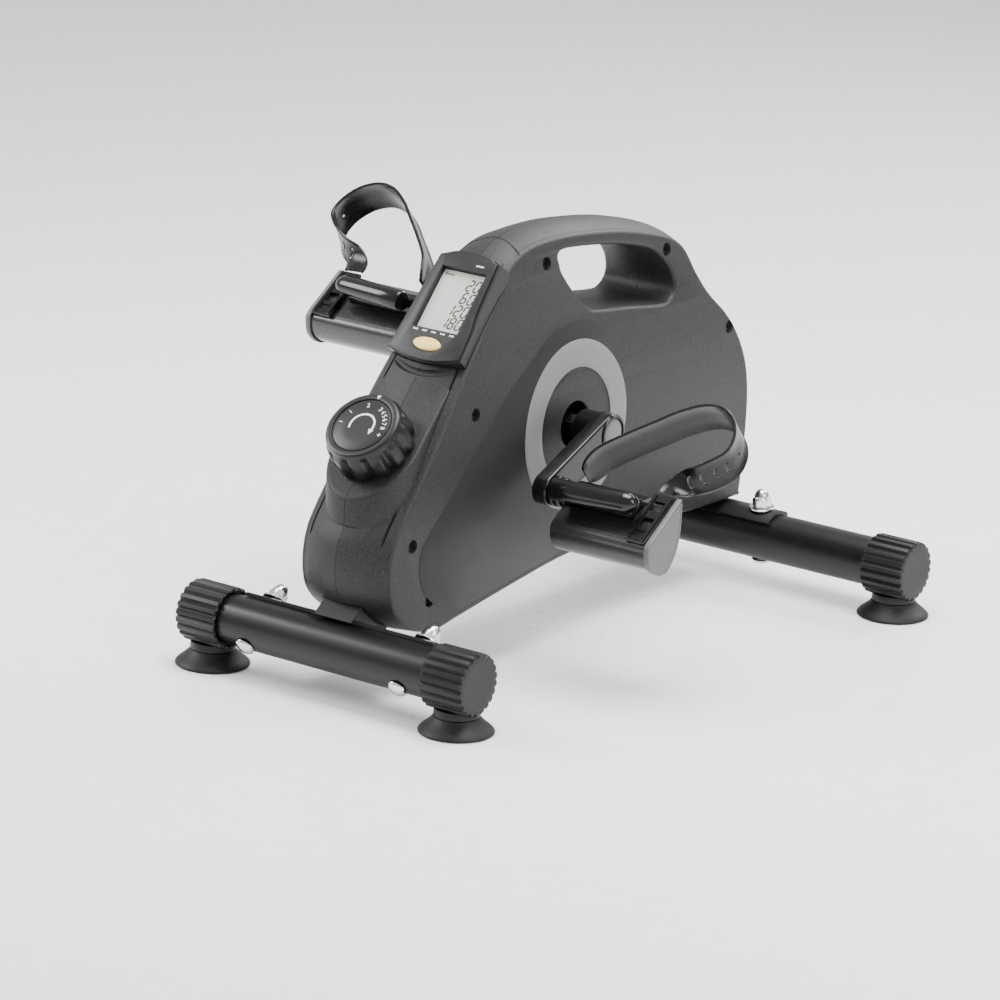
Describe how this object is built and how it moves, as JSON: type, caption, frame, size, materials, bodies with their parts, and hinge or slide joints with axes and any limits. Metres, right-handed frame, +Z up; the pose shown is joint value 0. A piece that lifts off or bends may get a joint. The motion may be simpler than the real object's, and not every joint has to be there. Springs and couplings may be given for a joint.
{
  "type": "pedal exerciser",
  "caption": "Low pedal exerciser with a belt-driven braked flywheel in a carrying-handle housing, weighted pedals with foot straps, a brake knob, a display and stabilisers on suction feet.",
  "frame": {"origin": "centre of the bounding box, on the floor under the machine", "axes": "+X to the rider's right along the crank axle, +Y away from the rider, +Z up"},
  "size_m": [0.446, 0.511, 0.317],
  "materials": {
    "belt_rubber": "matt black ribbed belt",
    "board_green": "green circuit board",
    "bright_steel": "turned bright steel",
    "button_yellow": "pale yellow plastic",
    "cable_black": "black cable sheath",
    "cap_plastic": "moulded matt black plastic",
    "cast_iron": "turned cast iron",
    "console_plastic": "satin charcoal plastic",
    "crank_paint": "gloss black paint",
    "display_glass": "grey-green liquid crystal under a clear cover",
    "dust_cap_grey": "dark grey plastic",
    "foot_rubber": "soft black rubber",
    "frame_paint": "satin black powder coat",
    "housing_plastic": "fine-textured charcoal plastic",
    "knob_plastic": "black moulded plastic with a scalloped rim",
    "pedal_gloss": "gloss black moulded plastic",
    "pulley_plastic": "black glass-filled nylon",
    "strap_rubber": "semi-gloss black moulded strap",
    "tube_paint": "satin black powder coat",
    "weight_grey": "satin dark grey moulded shell",
    "zinc": "bright zinc plate"
  },
  "bodies": {
    "base": {"brake_cable": "cable_black", "brake_pivot_pin": "zinc", "circuit_board": "board_green", "console_body": "console_plastic", "drive_belt": "belt_rubber", "front_left_bolt": "zinc", "front_left_end_cap": "cap_plastic", "front_left_nut": "zinc", "front_left_suction_foot": "foot_rubber", "front_left_washer": "zinc", "front_right_bolt": "zinc", "front_right_end_cap": "cap_plastic", "front_right_nut": "zinc", "front_right_suction_foot": "foot_rubber", "front_right_washer": "zinc", "front_saddle": "frame_paint", "front_tube": "tube_paint", "lcd_display": "display_glass", "left_bearing": "bright_steel", "left_housing": "housing_plastic", "main_frame": "frame_paint", "rear_left_bolt": "zinc", "rear_left_end_cap": "cap_plastic", "rear_left_nut": "zinc", "rear_left_suction_foot": "foot_rubber", "rear_left_washer": "zinc", "rear_right_bolt": "zinc", "rear_right_end_cap": "cap_plastic", "rear_right_nut": "zinc", "rear_right_suction_foot": "foot_rubber", "rear_right_washer": "zinc", "rear_saddle": "frame_paint", "rear_tube": "tube_paint", "right_bearing": "bright_steel", "right_housing": "housing_plastic", "speed_sensor": "cap_plastic"},
    "crank": {"crank_axle": "bright_steel", "drive_pulley": "pulley_plastic", "pulley_magnet": "bright_steel", "left_crank_arm": "crank_paint", "right_crank_arm": "crank_paint", "left_dust_cap": "dust_cap_grey", "right_dust_cap": "dust_cap_grey", "left_pedal_spindle": "bright_steel", "right_pedal_spindle": "bright_steel"},
    "flywheel": {"flywheel": "cast_iron", "flywheel_axle": "bright_steel"},
    "left_pedal": {"left_pedal_frame": "pedal_gloss", "left_pedal_weight": "weight_grey", "left_buckle": "strap_rubber", "left_foot_strap": "strap_rubber"},
    "right_pedal": {"right_pedal_frame": "pedal_gloss", "right_pedal_weight": "weight_grey", "right_buckle": "strap_rubber", "right_foot_strap": "strap_rubber"},
    "brake": {"magnet_carrier": "frame_paint", "brake_magnet": "bright_steel"},
    "knob": {"tension_knob": "knob_plastic", "tension_spindle": "bright_steel"},
    "button": {"mode_button": "button_yellow"}
  },
  "joints": [
    {"name": "flywheel_spin", "type": "hinge", "parent": "base", "child": "flywheel", "pos_m": [0, 0.1575, 0.15], "axis": [1, 0, 0], "continuous": true},
    {"name": "crank_spin", "type": "hinge", "parent": "base", "child": "crank", "pos_m": [0, 0.0085, 0.166], "axis": [1, 0, 0], "continuous": true},
    {"name": "right_pedal_spin", "type": "hinge", "parent": "crank", "child": "right_pedal", "pos_m": [0, -0.06382, 0.13678], "axis": [1, 0, 0], "continuous": true},
    {"name": "left_pedal_spin", "type": "hinge", "parent": "crank", "child": "left_pedal", "pos_m": [0, -0.02072, 0.23832], "axis": [1, 0, 0], "continuous": true},
    {"name": "knob_turn", "type": "hinge", "parent": "base", "child": "knob", "pos_m": [0, -0.18534, 0.17931], "axis": [0, -0.6524, 0.7579], "range_deg": [-35, 210]},
    {"name": "magnet_swing", "type": "hinge", "parent": "base", "child": "brake", "pos_m": [0, 0.0745, 0.128], "axis": [1, 0, 0], "range_deg": [-2.6, 0.5]},
    {"name": "mode_press", "type": "slide", "parent": "base", "child": "button", "axis": [0, 0.7516, -0.6596], "range_m": [0, 0.0012], "stiffness_N_per_m": 500, "springref_m": -0.0005}
  ],
  "couplings": [
    {"joint": "crank_spin", "follows": "flywheel_spin", "ratio": 0.24833},
    {"joint": "magnet_swing", "follows": "knob_turn", "ratio": -0.012}
  ]
}
